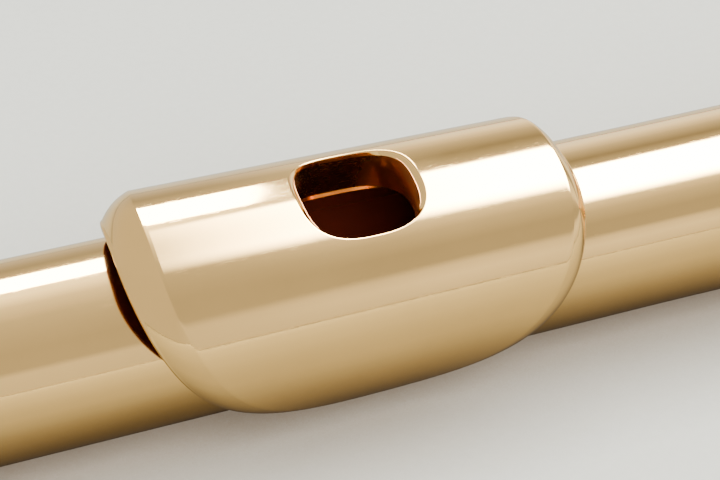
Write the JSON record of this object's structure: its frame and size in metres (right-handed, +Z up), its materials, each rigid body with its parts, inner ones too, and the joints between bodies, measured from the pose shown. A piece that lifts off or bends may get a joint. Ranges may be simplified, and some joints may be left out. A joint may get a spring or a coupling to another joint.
{
  "type": "concert flute",
  "caption": "Metal concert flute with lip plate, closed padded keys on hinge rods, sliding head joint, turning foot joint and screw-set stopper.",
  "frame": {"origin": "middle of the length and width, on the surface that the flute lies on", "axes": "+X from the crown to the foot along the tube, +Y away from the player, +Z up"},
  "size_m": [0.6576, 0.0402, 0.0326],
  "materials": {
    "rose_gold": "mirror polished pale rose gold",
    "steel": "satin",
    "cork": "matt",
    "pad_skin": "satin"
  },
  "bodies": {
    "body": {"body_tube": "rose_gold", "barrel": "rose_gold", "main_rib": "rose_gold", "trill_post": "rose_gold", "upper_rod": "steel", "lower_rod": "steel", "g_sharp_rod": "steel", "thumb_rib": "rose_gold", "thumb_rod": "steel"},
    "head": {"head_tube": "rose_gold", "lip_plate": "rose_gold", "riser": "rose_gold"},
    "crown": {"crown": "rose_gold"},
    "stopper": {"stopper_screw": "rose_gold", "stopper_cork": "cork", "stopper_nut": "rose_gold"},
    "foot": {"foot_tube": "rose_gold", "foot_socket": "rose_gold", "foot_rib": "rose_gold", "foot_rod": "steel"},
    "key_c_sharp": {"key_c_sharp": "rose_gold", "pad_c_sharp": "pad_skin"},
    "key_c": {"key_c": "rose_gold", "pad_c": "pad_skin"},
    "key_b_flat": {"key_b_flat": "rose_gold", "pad_b_flat": "pad_skin"},
    "key_a": {"key_a": "rose_gold", "pad_a": "pad_skin"},
    "key_g_upper": {"key_g_upper": "rose_gold", "pad_g_upper": "pad_skin"},
    "key_g_lower": {"key_g_lower": "rose_gold", "pad_g_lower": "pad_skin"},
    "key_f_sharp": {"key_f_sharp": "rose_gold", "pad_f_sharp": "pad_skin"},
    "key_f": {"key_f": "rose_gold", "pad_f": "pad_skin"},
    "key_e": {"key_e": "rose_gold", "pad_e": "pad_skin"},
    "key_d": {"key_d": "rose_gold", "pad_d": "pad_skin"},
    "key_d_trill": {"key_d_trill": "rose_gold", "pad_d_trill": "pad_skin"},
    "key_d_sharp_trill": {"key_d_sharp_trill": "rose_gold", "pad_d_sharp_trill": "pad_skin"},
    "key_g_sharp": {"key_g_sharp": "rose_gold", "pad_g_sharp": "pad_skin"},
    "key_thumb_b": {"key_thumb_b": "rose_gold", "pad_thumb_b": "pad_skin"},
    "key_thumb_b_flat": {"key_thumb_b_flat": "rose_gold"},
    "key_e_flat": {"key_e_flat": "rose_gold", "pad_e_flat": "pad_skin"},
    "key_foot_c_sharp": {"key_foot_c_sharp": "rose_gold", "pad_foot_c_sharp": "pad_skin"},
    "key_foot_c": {"key_foot_c": "rose_gold", "pad_foot_c": "pad_skin"},
    "roller_c": {"roller_c": "rose_gold"},
    "roller_c_sharp": {"roller_c_sharp": "rose_gold"}
  },
  "joints": [
    {"name": "c_sharp_hinge", "type": "hinge", "parent": "body", "child": "key_c_sharp", "pos_m": [-0.04125, -0.00332, 0.02472], "axis": [1, 0, 0], "range_deg": [-8.5, 0], "stiffness_Nm_per_rad": 0.012, "springref_deg": 14.32},
    {"name": "c_hinge", "type": "hinge", "parent": "body", "child": "key_c", "pos_m": [-0.00055, -0.00332, 0.02472], "axis": [1, 0, 0], "range_deg": [-8.5, 0], "stiffness_Nm_per_rad": 0.012, "springref_deg": 14.32},
    {"name": "b_flat_hinge", "type": "hinge", "parent": "body", "child": "key_b_flat", "pos_m": [0.01875, -0.00332, 0.02472], "axis": [1, 0, 0], "range_deg": [-8.5, 0], "stiffness_Nm_per_rad": 0.012, "springref_deg": 14.32},
    {"name": "a_hinge", "type": "hinge", "parent": "body", "child": "key_a", "pos_m": [0.03975, -0.00332, 0.02472], "axis": [1, 0, 0], "range_deg": [-8.5, 0], "stiffness_Nm_per_rad": 0.012, "springref_deg": 14.32},
    {"name": "g_upper_hinge", "type": "hinge", "parent": "body", "child": "key_g_upper", "pos_m": [0.06175, -0.00332, 0.02472], "axis": [1, 0, 0], "range_deg": [-8.5, 0], "stiffness_Nm_per_rad": 0.012, "springref_deg": 14.32},
    {"name": "g_lower_hinge", "type": "hinge", "parent": "body", "child": "key_g_lower", "pos_m": [0.08515, -0.00332, 0.02472], "axis": [1, 0, 0], "range_deg": [-8.5, 0], "stiffness_Nm_per_rad": 0.012, "springref_deg": 14.32},
    {"name": "f_sharp_hinge", "type": "hinge", "parent": "body", "child": "key_f_sharp", "pos_m": [0.10975, -0.00332, 0.02472], "axis": [1, 0, 0], "range_deg": [-8.5, 0], "stiffness_Nm_per_rad": 0.012, "springref_deg": 14.32},
    {"name": "f_hinge", "type": "hinge", "parent": "body", "child": "key_f", "pos_m": [0.13605, -0.00332, 0.02472], "axis": [1, 0, 0], "range_deg": [-8.5, 0], "stiffness_Nm_per_rad": 0.012, "springref_deg": 14.32},
    {"name": "e_hinge", "type": "hinge", "parent": "body", "child": "key_e", "pos_m": [0.16375, -0.00332, 0.02472], "axis": [1, 0, 0], "range_deg": [-8.5, 0], "stiffness_Nm_per_rad": 0.012, "springref_deg": 14.32},
    {"name": "d_hinge", "type": "hinge", "parent": "body", "child": "key_d", "pos_m": [0.18975, -0.00332, 0.02472], "axis": [1, 0, 0], "range_deg": [-8.5, 0], "stiffness_Nm_per_rad": 0.012, "springref_deg": 14.32},
    {"name": "d_trill_hinge", "type": "hinge", "parent": "body", "child": "key_d_trill", "pos_m": [-0.06525, -0.0068, 0.02132], "axis": [1, 0, 0], "range_deg": [0, 9], "stiffness_Nm_per_rad": 0.012, "springref_deg": -14.32},
    {"name": "d_sharp_trill_hinge", "type": "hinge", "parent": "body", "child": "key_d_sharp_trill", "pos_m": [-0.08125, -0.0068, 0.02132], "axis": [1, 0, 0], "range_deg": [0, 9], "stiffness_Nm_per_rad": 0.012, "springref_deg": -14.32},
    {"name": "g_sharp_hinge", "type": "hinge", "parent": "body", "child": "key_g_sharp", "pos_m": [0.09725, -0.00828, 0.02521], "axis": [1, 0, 0], "range_deg": [0, 4.5], "stiffness_Nm_per_rad": 0.012, "springref_deg": -17.19},
    {"name": "thumb_b_hinge", "type": "hinge", "parent": "body", "child": "key_thumb_b", "pos_m": [0.00475, -0.00555, 0.0019], "axis": [1, 0, 0], "range_deg": [-8, 0], "stiffness_Nm_per_rad": 0.012, "springref_deg": 14.32},
    {"name": "thumb_b_flat_hinge", "type": "hinge", "parent": "body", "child": "key_thumb_b_flat", "pos_m": [0.01375, -0.00555, 0.0019], "axis": [1, 0, 0], "range_deg": [-8, 0], "stiffness_Nm_per_rad": 0.012, "springref_deg": 14.32},
    {"name": "e_flat_hinge", "type": "hinge", "parent": "foot", "child": "key_e_flat", "pos_m": [0.23075, -0.00332, 0.02472], "axis": [1, 0, 0], "range_deg": [0, 10], "stiffness_Nm_per_rad": 0.012, "springref_deg": -14.32},
    {"name": "foot_c_sharp_hinge", "type": "hinge", "parent": "foot", "child": "key_foot_c_sharp", "pos_m": [0.26175, -0.00332, 0.02472], "axis": [1, 0, 0], "range_deg": [-8.5, 0], "stiffness_Nm_per_rad": 0.012, "springref_deg": 14.32},
    {"name": "foot_c_hinge", "type": "hinge", "parent": "foot", "child": "key_foot_c", "pos_m": [0.29275, -0.00332, 0.02472], "axis": [1, 0, 0], "range_deg": [-8.5, 0], "stiffness_Nm_per_rad": 0.012, "springref_deg": 14.32},
    {"name": "roller_c_spin", "type": "hinge", "parent": "key_foot_c", "child": "roller_c", "pos_m": [0.24625, 0.00349, 0.03092], "axis": [1, 0, 0], "continuous": true},
    {"name": "roller_c_sharp_spin", "type": "hinge", "parent": "key_foot_c_sharp", "child": "roller_c_sharp", "pos_m": [0.25315, 0.00349, 0.03092], "axis": [1, 0, 0], "continuous": true},
    {"name": "head_slide", "type": "slide", "parent": "body", "child": "head", "axis": [-1, 0, 0], "range_m": [0, 0.012]},
    {"name": "foot_turn", "type": "hinge", "parent": "body", "child": "foot", "pos_m": [0.22375, 0.0039, 0.01168], "axis": [1, 0, 0], "range_deg": [-15, 15]},
    {"name": "crown_turn", "type": "hinge", "parent": "head", "child": "crown", "pos_m": [-0.32225, 0.0039, 0.01168], "axis": [1, 0, 0], "range_deg": [-360, 360]},
    {"name": "stopper_slide", "type": "slide", "parent": "head", "child": "stopper", "axis": [1, 0, 0], "range_m": [-0.001, 0.001]}
  ],
  "couplings": [
    {"joint": "stopper_slide", "follows": "crown_turn", "m_per_rad": -0.00012732},
    {"joint": "c_sharp_hinge", "follows": "c_hinge", "ratio": 1},
    {"joint": "b_flat_hinge", "follows": "a_hinge", "ratio": 1},
    {"joint": "g_upper_hinge", "follows": "g_lower_hinge", "ratio": 1},
    {"joint": "f_sharp_hinge", "follows": "f_hinge", "ratio": 1}
  ]
}
